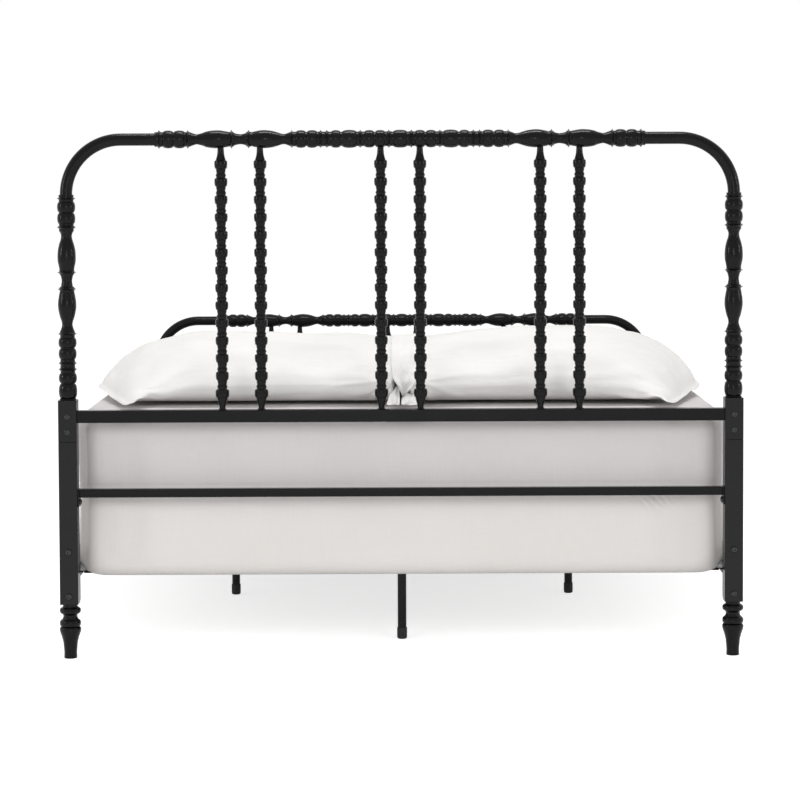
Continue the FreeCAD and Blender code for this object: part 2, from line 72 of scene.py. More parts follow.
def emptied(owner):
    """The empty node tree of a material or world."""
    owner.use_nodes = True
    owner.node_tree.nodes.clear()
    return owner.node_tree


def set_inputs(node, **values):
    """Sets or links a node's inputs; _ in a name stands for a space, and None leaves an input as it is."""
    for key, value in values.items():
        socket = node.inputs[key.replace("_", " ")]
        if isinstance(value, bpy.types.NodeSocket):
            node.id_data.links.new(value, socket)
        elif value is not None:
            socket.default_value = value
    return node


def add_node(tree, kind, **values):
    return set_inputs(tree.nodes.new("ShaderNode" + kind), **values)


def nodes_of(name):
    """A new material whose node tree holds a Principled shader."""
    made = bpy.data.materials.new(name)
    tree = emptied(made)
    shader = add_node(tree, "BsdfPrincipled")
    add_node(tree, "OutputMaterial", Surface=shader.outputs["BSDF"])
    return made, tree, shader


def place(tree, scale=(1, 1, 1), turn=(0, 0, 0)):
    """Object coordinates, turned and stretched."""
    coords = add_node(tree, "TexCoord").outputs["Object"]
    return add_node(tree, "Mapping", Vector=coords, Rotation=turn, Scale=scale).outputs["Vector"]


def noise_node(tree, vector, scale, detail=3.0, roughness=0.5):
    made = add_node(tree, "TexNoise", Vector=vector, Scale=scale, Detail=detail, Roughness=roughness)
    return made.outputs["Fac"]


def ramp(tree, value, stops):
    """A colour ramp from two (position, colour) stops."""
    made = add_node(tree, "ValToRGB", Fac=value)
    for element, (position, colour) in zip(made.color_ramp.elements, stops):
        element.position = position
        element.color = (*colour, 1.0)
    return made.outputs["Color"]


def spread(tree, value, low, high, start=0.3, end=0.7):
    """Maps a value onto a range."""
    made = add_node(tree, "MapRange", Value=value, From_Min=start, From_Max=end, To_Min=low, To_Max=high)
    return made.outputs["Result"]


def maths(tree, operation, a, b):
    made = add_node(tree, "Math")
    made.operation = operation
    for socket, value in zip(made.inputs, (a, b)):
        if isinstance(value, float):
            socket.default_value = value
        else:
            tree.links.new(value, socket)
    return made.outputs["Value"]


def bump(tree, shader, height, distance, strength, under=None):
    """Raises a shader's surface by a height, on top of the bumps under it."""
    made = add_node(tree, "Bump", Height=height, Distance=distance, Strength=strength, Normal=under)
    set_inputs(shader, Normal=made.outputs["Normal"])
    return made.outputs["Normal"]


def painted_metal(name, dark, light, roughness, peel=0.00006, mirror=0.16):
    """Satin paint baked on metal: a fine orange peel, faint mottling and rubbed patches."""
    made, tree, shader = nodes_of(name)
    vector = place(tree)
    mottle = noise_node(tree, vector, 14.0, 4.0, 0.6)
    grain = noise_node(tree, vector, 420.0, 2.0)
    colour = ramp(tree, mottle, [(0.3, dark), (0.75, light)])
    worn = maths(tree, "ADD", spread(tree, mottle, -0.04, 0.05), spread(tree, grain, *roughness))
    set_inputs(shader, Base_Color=colour, Roughness=worn, Specular_IOR_Level=mirror)
    bump(tree, shader, grain, peel, 0.14)
    return made


def moulded_plastic(name, colour):
    """Matt black plastic with the fine spark-eroded texture of a mould."""
    made, tree, shader = nodes_of(name)
    vector = place(tree)
    grain = noise_node(tree, vector, 900.0, 3.0)
    cloud = noise_node(tree, vector, 30.0)
    lighter = tuple(1.6 * part for part in colour)
    set_inputs(shader, Base_Color=ramp(tree, cloud, [(0.3, colour), (0.7, lighter)]),
               Roughness=spread(tree, grain, 0.55, 0.75), Specular_IOR_Level=0.35)
    bump(tree, shader, grain, 0.0001, 0.6)
    return made


def weave(tree, vector, threads):
    """Threads crossing at right angles on any face that lies square to the axes."""
    total = None
    for direction in "XYZ":
        wave = add_node(tree, "TexWave", Vector=vector, Scale=threads, Distortion=0.6, Detail=1.0)
        wave.bands_direction = direction
        total = wave.outputs["Fac"] if total is None else maths(tree, "ADD", total, wave.outputs["Fac"])
    return total


def puckers(tree, middle):
    """Short slanting gathers that fade out round a place."""
    coords = add_node(tree, "TexCoord").outputs["Object"]
    local = add_node(tree, "Mapping", Vector=coords, Location=middle, Scale=(0.065, 0.2, 0.032))
    local.vector_type = "TEXTURE"
    fade = add_node(tree, "TexGradient", Vector=local.outputs["Vector"])
    fade.gradient_type = "SPHERICAL"
    wave = add_node(tree, "TexWave", Vector=place(tree, turn=(0.0, 0.75, 0.0)), Scale=26.0, Distortion=1.5)
    return maths(tree, "MULTIPLY", fade.outputs["Fac"], wave.outputs["Fac"])


def cloth(name, shade, tint, threads, crease, slub=(60.0, 60.0, 4.0), crumple=0.004, pucker=None):
    """Woven cotton: crossing threads, slubs along one way, soft creases and a short nap."""
    made, tree, shader = nodes_of(name)
    vector = place(tree)
    streaks = noise_node(tree, place(tree, slub), 6.0, 4.0, 0.6)
    cloud = noise_node(tree, vector, 5.0, 3.0)
    threads_height = weave(tree, vector, threads)
    wefts = noise_node(tree, place(tree, (slub[2], slub[2], slub[0])), 6.0, 4.0, 0.6)
    tone = maths(tree, "ADD", maths(tree, "MULTIPLY", streaks, 0.3), maths(tree, "MULTIPLY", cloud, 0.4))
    tone = maths(tree, "ADD", tone, maths(tree, "MULTIPLY", wefts, 0.3))
    set_inputs(shader, Base_Color=ramp(tree, tone, [(0.3, shade), (0.7, tint)]),
               Roughness=spread(tree, threads_height, 0.85, 0.97, 0.8, 2.2),
               Specular_IOR_Level=0.2, Sheen_Weight=0.12, Sheen_Roughness=0.5)
    folds = noise_node(tree, place(tree, crease), 7.0, 4.0, 0.55)
    soft = bump(tree, shader, folds, crumple, 0.35)
    if pucker:
        soft = bump(tree, shader, puckers(tree, pucker), 0.0035, 0.6, under=soft)
    bump(tree, shader, threads_height, 0.00012, 0.5, under=soft)
    return made


frame_black = painted_metal("frame_black_paint", (0.0008, 0.0008, 0.001), (0.002, 0.002, 0.0023), (0.19, 0.26))
# The legs' paint is the frame paint made a little lighter and glossier. This is painted light that makes the legs
# render lighter than the rails.
lit_tube_black = painted_metal("tube_black_paint_with_painted_light", (0.0009, 0.0009, 0.0011), (0.0022, 0.0022, 0.0025), (0.2, 0.27),
                           mirror=0.25)
bolt_black = painted_metal("bolt_black_paint", (0.003, 0.003, 0.0034), (0.007, 0.007, 0.008), (0.16, 0.24),
                           peel=0.00003, mirror=0.5)
cap_black = moulded_plastic("cap_black_plastic", (0.008, 0.008, 0.009))
# The sheet is coloured darker than the ticking below it. This is partly a different cloth and partly painted
# shade over the upper part of the mattress's sides.
sheet_cotton_painted_shade = cloth("sheet_cotton_painted_shade", (0.625, 0.594, 0.592), (0.68, 0.65, 0.646), 420.0, (2.5, 2.5, 1.0))
ticking_cotton = cloth("ticking_cotton", (0.735, 0.70, 0.675), (0.785, 0.752, 0.728), 380.0, (2.5, 2.5, 1.0),
                       pucker=(0.528, -0.953, 0.315))
pillow_cotton = cloth("pillow_cotton", (0.80, 0.785, 0.765), (0.86, 0.85, 0.835), 460.0, (1.0, 3.0, 3.2),
                      crumple=0.011)

# A piece's material, slot and body
METAL = (frame_black, "frame_black", "bed_frame")
BOLTS = (bolt_black, "bolt_black", "bed_frame")


# ---------------- shapes


def put(name, data):
    """A new object in the scene."""
    made = bpy.data.objects.new(name, data)
    bpy.context.scene.collection.objects.link(made)
    return made


class Shape:
    """The points, in millimetres, and the faces of one piece."""

    def __init__(self):
        self.points = []
        self.faces = []

    def sections(self, loops, caps=True):
        """Skins closed loops of equally many points, with a face on each end loop."""
        base, count = len(self.points), len(loops[0])
        for loop in loops:
            self.points += [Vector(point) for point in loop]
        for number in range(len(loops) - 1):
            a = base + number * count
            b = a + count
            for i in range(count):
                j = (i + 1) % count
                self.faces.append((a + i, a + j, b + j, b + i))
        if caps:
            self.faces.append(tuple(range(base + count - 1, base - 1, -1)))
            last = base + (len(loops) - 1) * count
            self.faces.append(tuple(range(last, last + count)))
        return self

    def add(self, other, change=None):
        base = len(self.points)
        self.points += [change(point) if change else point.copy() for point in other.points]
        self.faces += [tuple(base + i for i in face) for face in other.faces]
        return self

    def at(self, x=0.0, y=0.0, z=0.0):
        return Shape().add(self, lambda p: p + Vector((x, y, z)))

    def mirrored(self, axis=0):
        def flip(p):
            flipped = p.copy()
            flipped[axis] = -flipped[axis]
            return flipped
        return Shape().add(self, flip)

    def turned_to(self, direction):
        """What was made about +Z, turned so that +Z becomes the direction."""
        turn = Vector(direction).to_track_quat("Z", "Y")
        return Shape().add(self, lambda p: turn @ p)

    def mesh(self, name, crisp=32.0):
        mesh = bpy.data.meshes.new(name)
        mesh.from_pydata([point * MM for point in self.points], [], self.faces)
        work = bmesh.new()
        work.from_mesh(mesh)
        bmesh.ops.recalc_face_normals(work, faces=work.faces)
        work.to_mesh(mesh)
        work.free()
        mesh.shade_smooth()
        mesh.set_sharp_from_angle(angle=math.radians(crisp))
        return mesh

    def flat_piece(self, *names, **more):
        """A piece whose flat faces keep an even shade up to their rounded corners."""
        made = self.piece(*names, **more)
        even = made.modifiers.new("Even faces", "WEIGHTED_NORMAL")
        even.mode = "FACE_AREA"
        even.weight = 100
        even.keep_sharp = True
        return made

    def piece(self, name, finish, slot, body, *replaced, crisp=32.0):
        """The piece as an object that rides on a body and stands for CAD nodes."""
        piece = put(name, self.mesh(name, crisp))
        piece.data.materials.append(finish)
        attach(piece, body)
        if replaced:
            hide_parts(*replaced)
        return piece


def circle(radius, height, sides):
    turn = 2 * math.pi / sides
    return [(radius * math.cos(turn * i), radius * math.sin(turn * i), height) for i in range(sides)]


def lathe(outline, sides=32):
    """A turned shape about +Z from (place, radius) pairs."""
    return Shape().sections([circle(radius, height, sides) for height, radius in outline])


def rounded_square(half_x, half_y, corner, height=0.0, steps=4):
    """A level loop with rounded corners."""
    loop = []
    for quarter, (sx, sy) in enumerate([(1, 1), (-1, 1), (-1, -1), (1, -1)]):
        for step in range(steps + 1):
            angle = 0.5 * math.pi * (quarter + step / steps)
            x = sx * (half_x - corner) + corner * math.cos(angle)
            y = sy * (half_y - corner) + corner * math.sin(angle)
            loop.append((x, y, height))
    return loop


def bar(half_x, half_y, low, high, corner, edge=0.6):
    """A square bar or plate about +Z with rounded corners and eased ends."""
    def loop(inset, height):
        return rounded_square(half_x - inset, half_y - inset, max(corner - inset, 0.1), height)
    return Shape().sections([loop(edge, low), loop(0, low + edge), loop(0, high - edge), loop(edge, high)])


def smooth_span(before, a, b, after, steps):
    """A Catmull-Rom curve of plane points from a up to, but not at, b."""
    for t in (step / steps for step in range(steps)):
        yield tuple(0.5 * (2 * a[k] + (b[k] - before[k]) * t
                           + (2 * before[k] - 5 * a[k] + 4 * b[k] - after[k]) * t * t
                           + (3 * a[k] - before[k] - 3 * b[k] + after[k]) * t ** 3) for k in (0, 1))


def smooth_through(points, steps=4):
    """A smooth line through (place, radius) points."""
    line = []
    ends = [points[0]] + list(points) + [points[-1]]
    for four in zip(ends, ends[1:], ends[2:], ends[3:]):
        line += smooth_span(*four, steps)
    return line + [points[-1]]


def share(value, start, end):
    """How far a value has gone from start to end, from 0 to 1."""
    return min(max((value - start) / (end - start), 0.0), 1.0)


class Turning:
    """A turned outline, written from one end to the other by where each stretch ends."""

    def __init__(self, start, groove=15.0):
        self.end = start
        self.groove = groove
        self.line = []

    def bead(self, end, crest, steps=8):
        """A swell like half an ellipse between two grooves."""
        middle, half = 0.5 * (self.end + end), 0.5 * (end - self.end)
        for step in range(steps + 1):
            along = -math.cos(math.pi * step / steps)
            rise = max(1 - along * along, 0.0) ** 0.55
            self.line.append((middle + half * along, self.groove + (crest - self.groove) * rise))
        self.end = end
        return self

    def ridge(self, end, crest, peak=None):
        """A thin sharp ring whose flanks hollow towards a narrow crest."""
        start = self.end
        peak = 0.5 * (start + end) if peak is None else peak
        rise = crest - self.groove
        for t, lift in ((0.0, 0.0), (0.45, 0.12), (0.72, 0.4), (0.84, 0.82), (0.92, 1.0)):
            self.line.append((start + (peak - start) * t, self.groove + rise * lift))
        for t, lift in ((0.08, 1.0), (0.16, 0.82), (0.28, 0.4), (0.55, 0.12), (1.0, 0.0)):
            self.line.append((peak + (end - peak) * t, self.groove + rise * lift))
        self.end = end
        return self

    def flat(self, end, radius=None):
        """A plain stretch."""
        radius = self.groove if radius is None else radius
        self.line += [(self.end, radius), (end, radius)]
        self.end = end
        return self

    def curve(self, *points, start=0.0):
        """A smooth line through points, whose places count from the start."""
        self.line += smooth_through([(start + along, radius) for along, radius in points])
        self.end = start + points[-1][0]
        return self

    def outline(self):
        """The line without doubled points."""
        kept = [self.line[0]]
        for point in self.line[1:]:
            if abs(point[0] - kept[-1][0]) + abs(point[1] - kept[-1][1]) > 0.02:
                kept.append(point)
        return kept


# ---------------- turned castings


def centre_work():
    """Half of the centre casting, from the middle of the board outwards."""
    work = Turning(-14.0).bead(14.0, 18.6).flat(16.5).ridge(29.5, 18.2).flat(31.0)
    work.bead(50.5, 18.1).flat(53.5, 14.3).bead(73.0, 18.1).flat(75.6).ridge(87.6, 18.2).flat(89.0)
    work.bead(118.5, 18.6).flat(122.3, 14.7).bead(141.0, 18.2).flat(144.3).ridge(155.7, 18.2).flat(157.2)
    work.ridge(168.4, 18.2).flat(170.0).bead(190.5, 18.3).flat(193.4, 14.6).bead(213.0, 18.2).flat(218.5)
    return [point for point in work.outline() if point[0] >= 0]


def side_work():
    """The side casting, from the centre casting to the arch tube: two vases, beads and rings."""
    work = Turning(218.5).ridge(225.0, 19.0)
    work.curve((225.0, 14.6), (229.7, 12.8), (236.0, 10.7), (242.0, 11.1), (246.0, 12.2), (250.0, 13.7),
               (256.5, 15.6), (262.5, 17.1), (269.0, 18.0), (278.0, 18.7), (287.5, 18.1), (293.5, 16.9),
               (299.0, 15.8), (302.0, 15.3))
    work.flat(305.0, 14.4).ridge(314.5, 18.8, 310.5)
    work.curve((314.6, 14.4), (317.0, 12.4), (324.5, 10.45), (331.0, 10.8), (337.0, 12.1), (341.0, 13.9))
    work.ridge(350.4, 19.2, 345.2)
    work.curve((350.5, 14.8), (353.0, 15.7), (359.5, 16.8), (366.0, 18.0), (374.0, 18.6), (386.4, 17.9),
               (392.6, 16.95), (398.7, 15.6), (402.9, 13.9), (407.0, 12.5), (415.2, 10.45), (419.0, 10.9),
               (425.5, 13.0), (430.0, 14.8))
    work.ridge(439.6, 18.8).flat(441.0).bead(463.0, 18.4).flat(464.6, 14.9).bead(485.5, 18.4)
    return work.flat(488.0).ridge(499.4, 18.8).flat(502.5).outline()


def vase(work, start):
    """A post casting's neck, vase and collar."""
    work.curve((0.0, 15.2), (4.6, 13.0), (13.2, 10.8), (21.6, 12.1), (25.6, 13.7), (32.2, 15.6), (38.6, 17.0),
               (44.6, 18.1), (53.6, 18.8), (63.6, 18.2), (69.6, 17.2), (75.6, 16.2), (79.6, 15.4), start=start)
    work.flat(start + 82.6).ridge(start + 90.6, 19.0, start + 86.6)


def head_post_line():
    """A headboard post casting from its stub up to the arch tube: two vases, beads and rings."""
    work = Turning(STUB_TOP).bead(538.2, 17.4, 4).bead(568.0, 18.8).flat(570.0, 14.6).bead(590.0, 18.6)
    work.flat(592.6).ridge(603.6, 18.6).flat(605.4).ridge(616.0, 18.6).flat(619.4).bead(640.4, 18.3)
    work.flat(643.0, 14.6).bead(663.0, 18.5).flat(666.2).ridge(676.2, 18.8)
    vase(work, 676.4)
    work.curve((767.1, 14.4), (769.0, 12.3), (773.0, 11.6), (779.7, 10.7), (786.0, 11.6), (791.0, 13.0),
               (793.4, 14.4))
    work.ridge(801.4, 19.2, 797.6).flat(803.6, 15.4)
    work.curve((803.8, 15.2), (809.3, 16.2), (813.4, 17.1), (817.5, 18.0), (821.6, 18.5), (829.0, 18.8),
               (835.0, 18.6), (840.2, 18.2), (844.3, 17.7), (848.4, 16.9), (852.5, 15.9), (856.7, 14.8),
               (860.8, 13.4), (864.9, 12.1), (872.2, 11.0), (878.4, 12.6), (881.8, 14.8))
    work.flat(884.6, 15.1).ridge(895.4, 19.0).flat(896.6).bead(919.0, 18.5).flat(920.6).bead(942.0, 18.6)
    return work.flat(944.6).ridge(953.0, 18.8).flat(HEAD_AXIS - BEND, 15.4).outline()


def foot_post_line():
    """A footboard post casting, which has one vase."""
    work = Turning(FOOT_LEG_TOP).bead(272.2, 17.4, 4).bead(302.0, 18.8).flat(304.6).ridge(315.6, 18.6)
    vase(work, 315.8)
    work.curve((406.5, 14.4), (408.4, 12.3), (412.4, 11.6), (419.0, 10.7), (425.4, 11.6), (430.4, 13.0),
               (432.8, 14.4))
    work.ridge(440.8, 19.2, 437.0).flat(443.0).bead(463.4, 18.5).flat(465.4).ridge(471.4, 18.8)
    return work.flat(FOOT_AXIS - BEND, 15.4).outline()


def spindle_line(axis, rail_centre, beads):
    """A spindle from its cross rail up into its casting."""
    above_rail, below_axis = 46.0, 52.0
    lowest = rail_centre + above_rail
    pitch = (axis - below_axis - lowest) / (beads - 1)
    work = Turning(rail_centre + TUBE)
    work.curve((TUBE, 9.2), (13.6, 8.6), (15.0, 6.8), (17.5, 6.2), (22.0, 6.9), (28.0, 8.6), (33.5, 10.0),
               (above_rail - 8.5, 10.6), start=rail_centre)
    for k in range(beads):
        centre, crest = lowest + k * pitch, 13.8 if k == 0 else 13.2
        work.curve((-8.3, crest - 2.2), (-6.6, crest - 0.8), (0.0, crest + 0.2), (5.8, crest), (7.6, crest - 0.5),
                   (8.8, crest - 2.3), start=centre)
        if k < beads - 1:
            # A neck with a small ring in it, up to the next bead
            work.curve((8.9, 10.2), (10.2, 9.6), (12.0, 9.8), (14.5, 10.7), (17.2, 9.6), (19.2, 8.9), (22.2, 9.5),
                       (25.0, 9.9), (pitch - 8.4, 10.1), start=centre)
    work.curve((8.9 - below_axis, 10.5), (-41.0, 9.9), (-36.0, 8.4), (-30.0, 7.2), (-22.0, 6.6), (-15.0, 6.3),
               (-9.0, 6.3), start=axis)
    return work.outline()


def foot_line():
    """A turned foot, from the floor to its leg."""
    work = Turning(0.0)
    work.curve((0.0, 12.4), (0.9, 13.4), (6.0, 13.3), (12.0, 13.2), (18.0, 13.6), (26.4, 14.4), (32.7, 15.0),
               (38.7, 16.3), (45.0, 18.0), (51.0, 20.1), (57.0, 21.9), (61.5, 22.0), (64.4, 20.6), (65.5, 19.0))
    work.curve((65.6, 18.6), (67.5, 20.6), (70.5, 21.7), (73.2, 22.0), (76.4, 21.4), (79.0, 19.6), (80.5, 17.5))
    work.curve((80.6, 17.3), (83.4, 15.5), (87.2, 14.6), (90.4, 15.5), (92.4, 17.6))
    work.curve((92.5, 17.9), (95.0, 20.9), (99.0, 22.0), (103.0, 20.9), (105.6, 17.9))
    work.curve((105.7, 16.4), (108.4, 15.2), (113.0, 15.6))
    return work.outline()


def both_sides(name, shape, finish=frame_black, flat=False):
    """A metal piece of the right side and its mirror image, each for the CAD node of its name."""
    for side, form in (("right", shape), ("left", shape.mirrored())):
        make = form.flat_piece if flat else form.piece
        make(name + "_" + side + "_dressed", finish, *METAL[1:], name + "_" + side)


def elbow(axis):
    """The bent tube between a side casting and a post casting."""
    centre = Vector((POST - BEND, 0, axis - BEND))
    stations = [(Vector((488.0, 0, axis)), 0.0), (Vector((centre.x - 2.0, 0, axis)), 0.0)]
    for step in range(25):
        turn = 0.5 * math.pi * step / 24
        stations.append((centre + BEND * Vector((math.sin(turn), 0, math.cos(turn))), turn))
    stations.append((Vector((POST, 0, axis - BEND - 14.0)), 0.5 * math.pi))
    loops = []
    for middle, turn in stations:
        outward = Vector((math.sin(turn), 0, math.cos(turn)))
        angles = [2 * math.pi * i / 32 for i in range(32)]
        loops.append([middle + TUBE * (outward * math.cos(a) + Vector(TO_FOOT) * math.sin(a)) for a in angles])
    return Shape().sections(loops)


def arch(board, y, axis, post_line):
    """A board's castings and its two bent tubes."""
    centre = centre_work()
    whole = [(-u, r) for u, r in reversed(centre)] + [(u, r) for u, r in centre if u > 0.5]
    centre_casting = lathe(whole).turned_to(ALONG_X).at(0, y, axis)
    centre_casting.piece(board + "_centre_casting_turned", *METAL, board + "_centre_casting")
    side = lathe(side_work()).turned_to(ALONG_X).at(0, y, axis)
    both_sides(board + "_side_casting", side)
    both_sides(board + "_elbow", elbow(axis).at(0, y, 0))
    both_sides(board + "_post_casting", lathe(post_line).at(POST, y, 0))


def spindles(board, y, axis, rail_centre, beads):
    shape = lathe(spindle_line(axis, rail_centre, beads), 24)
    places = (-367.6, -287.2, -40.2, 40.2, 287.2, 367.6)
    for number, x in enumerate(places, 1):
        node = board + "_spindle_" + str(number)
        shape.at(x, y, 0).piece(node + "_turned", *METAL, node)


arch("head", HEAD, HEAD_AXIS, head_post_line())
arch("foot", FOOT, FOOT_AXIS, foot_post_line())
spindles("head", HEAD, HEAD_AXIS, HEAD_RAIL, 14)
spindles("foot", FOOT, FOOT_AXIS, FOOT_RAIL, 8)
for board_name, board_y in (("head", HEAD), ("foot", FOOT)):
    both_sides(board_name + "_foot", lathe(foot_line()).at(POST, board_y, 0))


# ---------------- square tubes


def box_bar(x_range, y_range, z_range, corner, edge=0.6, axis="z"):
    """A bar between two places on each axis, its rounded corners about the axis that it runs along."""
    ranges = {"x": x_range, "y": y_range, "z": z_range}
    others = {"x": "yz", "y": "zx", "z": "xy"}[axis]
    middle = [0.5 * sum(ranges[key]) for key in others]
    half = [0.5 * (ranges[key][1] - ranges[key][0]) for key in others]
    shape = bar(half[0], half[1], ranges[axis][0], ranges[axis][1], corner, edge)

    def turn(p):
        u, v, w = p.x + middle[0], p.y + middle[1], p.z
        return Vector({"x": (w, u, v), "y": (v, w, u), "z": (u, v, w)}[axis])
    return Shape().add(shape, turn)


def leg(y, low, high):
    """The right leg of a board between two heights."""
    return box_bar((POST - HALF_LEG, POST + HALF_LEG), (y - HALF_LEG, y + HALF_LEG), (low, high), 2.6, 0.5)


# The legs and stubs take the lighter, glossier copy of the frame paint as painted light.
both_sides("head_leg", leg(HEAD, LEG_BOTTOM, SEAM), lit_tube_black, flat=True)
both_sides("head_stub", leg(HEAD, SEAM, STUB_TOP), lit_tube_black, flat=True)
both_sides("foot_leg", leg(FOOT, LEG_BOTTOM, FOOT_LEG_TOP), lit_tube_black, flat=True)


def cross_rail(y, height):
    return box_bar((-LEG_INNER, LEG_INNER), (y - TUBE, y + TUBE), (height - TUBE, height + TUBE), 2.0, 0.2, "x")


def lower_rail():
    """The headboard's thin rail, with a plate at each end that hangs down for its bolt."""
    half, half_plate, plate_low = 8.75, 17.0, 314.25
    inner, top = LEG_INNER - PLATE, LOWER_RAIL + half
    rail = box_bar((-inner, inner), (HEAD - half, HEAD + half), (LOWER_RAIL - half, top), 1.6, 0.2, "x")
    for ends in ((-LEG_INNER, -inner), (inner, LEG_INNER)):
        rail.add(box_bar(ends, (HEAD - half_plate, HEAD + half_plate), (plate_low, top), 3.0, 0.5, "x"))
    return rail


cross_rail(HEAD, HEAD_RAIL).flat_piece("head_upper_rail_tube", *METAL, "head_upper_rail")
cross_rail(FOOT, FOOT_RAIL).flat_piece("foot_rail_tube", *METAL, "foot_rail")
lower_rail().flat_piece("head_lower_rail_tube", *METAL, "head_lower_rail")


# ---------------- bolts


def hexagon(radius, height, sides=24):
    """A hexagon drawn with as many points as the circle round it."""
    loop = []
    for i in range(sides):
        angle = 2 * math.pi * i / sides
        from_corner = (angle % (math.pi / 3)) - math.pi / 6
        reach = radius * math.cos(math.pi / 6) / math.cos(from_corner)
        loop.append((reach * math.cos(angle), reach * math.sin(angle), height))
    return loop


def button_bolt(head_radius, head_height, reach, shank, socket):
    """A button-head bolt about +Z with a six-sided socket: head above 0, shank below."""
    dome = [(0.0, 0.97), (0.12, 1.0), (0.3, 0.985), (0.55, 0.91), (0.8, 0.78), (0.95, 0.64), (1.0, 0.56)]
    loops = [circle(shank, -reach, 24), circle(shank, 0.0, 24)]
    loops += [circle(head_radius * r, head_height * z, 24) for z, r in dome]
    loops += [hexagon(socket, head_height), hexagon(0.93 * socket, 0.88 * head_height)]
    loops += [hexagon(0.93 * socket, 0.25 * head_height)]
    return Shape().sections(loops)


def at_every(shape, places):
    whole = Shape()
    for x, y, z in places:
        whole.add(shape.at(x, y, z))
    return whole


def at_posts(y, heights):
    return [(side * POST, y, z) for side in (-1, 1) for z in heights]


stub_bolt = button_bolt(6.2, 3.0, 9.0, 3.0, 3.6).turned_to(TO_HEAD)
stub_bolts = at_every(stub_bolt, at_posts(HEAD - HALF_LEG, (501.4, 469.6)))
stub_bolts.piece("stub_button_bolts", *BOLTS, "stub_bolts")

rail_bolt = button_bolt(6.2, 4.0, 8.5, 3.0, 3.4).turned_to((-1, 0, 0)).at(LEG_INNER - PLATE, HEAD, 323.75)
rail_bolts = Shape().add(rail_bolt).add(rail_bolt.mirrored())
rail_bolts.piece("lower_rail_button_bolts", *BOLTS, "lower_rail_bolts")

# Bolts through each leg and the end plate of its side rail, with a nut inside
bracket_heights = (222.0, 130.0)
bracket_bolt = button_bolt(6.8, 4.5, 45.0, 4.0, 3.4).turned_to(TO_HEAD)
near = at_every(bracket_bolt, at_posts(HEAD - HALF_LEG, bracket_heights))
bracket_bolts = Shape().add(near).add(near.mirrored(1))
nut = lathe([(0, 5.6), (0.6, 6.4), (5.0, 6.4), (5.6, 5.6)], 6).turned_to(TO_FOOT)
nuts = at_every(nut, at_posts(HEAD + HALF_LEG + PLATE, bracket_heights))
bracket_bolts.add(nuts).add(nuts.mirrored(1))
bracket_bolts.piece("side_rail_button_bolts", *BOLTS, "side_rail_bolts")


# ---------------- base


def side_rail():
    """The right side rail: rolled angle iron with a bolt plate welded to each end."""
    outer, inner, top = POST + HALF_LEG, POST - HALF_LEG, RAIL_LOW + 2 * HALF_LEG
    corner = [(inner, RAIL_LOW), (outer, RAIL_LOW), (outer, top), (outer - PLATE, top),
              (outer - PLATE, SLAT_LOW), (inner, SLAT_LOW)]
    eased = []
    radii = (0.8, 2.4, 0.8, 0.8, 2.4, 0.8)
    for k, (point, radius) in enumerate(zip(corner, radii)):
        here = Vector(point)
        before = (Vector(corner[k - 1]) - here).normalized() * radius
        after = (Vector(corner[(k + 1) % 6]) - here).normalized() * radius
        for t in (0.0, 0.25, 0.5, 0.75, 1.0):
            eased.append(here + before * (1 - t) ** 2 + after * t ** 2)
    end = -HEAD - HALF_LEG - PLATE
    shape = Shape().sections([[(p.x, y, p.y) for p in eased] for y in (-end, end)])
    for low_y in (-end - PLATE, end):
        shape.add(box_bar((inner, outer), (low_y, low_y + PLATE), (116.0, 236.0), 3.0, 0.4, "y"))
    return shape


both_sides("side_rail", side_rail(), flat=True)


def slat_place(number):
    """How far along the bed (y) a slat lies, counted from the headboard."""
    pitch = (2 * FOOT - 170.0) / 15
    return HEAD + 85.0 + number * pitch


def slat():
    """A roll-formed slat about x = y = 0: a flat top with lips that curl down."""
    end, lips_end, thick, half = POST + 15.05, 664.0, 2.0, 20.0
    outside = [(-half, -3.0), (-half, 0.6), (-half + 0.5, 1.5), (-half + 1.5, thick), (half - 1.5, thick),
               (half - 0.5, 1.5), (half, 0.6), (half, -3.0)]
    inner = half - thick
    inside = [(inner, -3.0), (inner, -0.4), (inner - 0.4, 0.0), (0.4 - inner, 0.0), (-inner, -0.4),
              (-inner, -3.0)]
    profile = outside + inside
    shape = Shape().sections([[(x, y, SLAT_LOW + z) for y, z in profile] for x in (-lips_end, lips_end)])
    for ends in ((-end, -lips_end), (lips_end, end)):
        shape.add(box_bar(ends, (-half, half), (SLAT_LOW, SLAT_LOW + thick), 0.8, 0.2, "x"))
    return shape


for group in range(4):
    places = [(0, slat_place(number), 0) for number in range(4 * group, 4 * group + 4)]
    node = "slats_" + str(group + 1)
    at_every(slat(), places).flat_piece(node + "_rolled", *METAL, node)

# Flange nuts under the side rails hold the slats' ends
flange_nut = lathe([(0.0, 4.6), (-0.5, 7.4), (-1.4, 7.6), (-1.6, 5.6), (-5.0, 5.6), (-5.6, 5.0)], 12)
nut_places = [(side * 680.0, slat_place(number), RAIL_LOW) for side in (-1, 1) for number in range(16)]
at_every(flange_nut, nut_places).piece("slat_end_nuts", *BOLTS)

# The support legs stand under four of the slats, one or two across
supports = [(x, slat_place(number), 0)
            for x, number in ((0.0, 1), (-395.0, 6), (395.0, 6), (-395.0, 9), (395.0, 9), (0.0, 14))]
support_tube = lathe([(4.0, 8.2), (4.0, 9.5), (166.6, 9.5), (166.7, 13.6), (167.2, 14.0), (168.8, 14.0)])
support_cap = lathe([(0.0, 7.4), (0.5, 8.7), (1.8, 10.2), (4.0, 10.8), (22.6, 10.8), (24.4, 10.5),
                     (25.0, 9.9)])
for number, foot in enumerate(supports, 1):
    node = "support_leg_" + str(number)
    support_tube.at(*foot).piece(node + "_tube", *METAL, node)
support_caps = at_every(support_cap, supports)
support_caps.piece("support_leg_end_caps", cap_black, "cap_plastic", "bed_frame", "support_leg_caps")

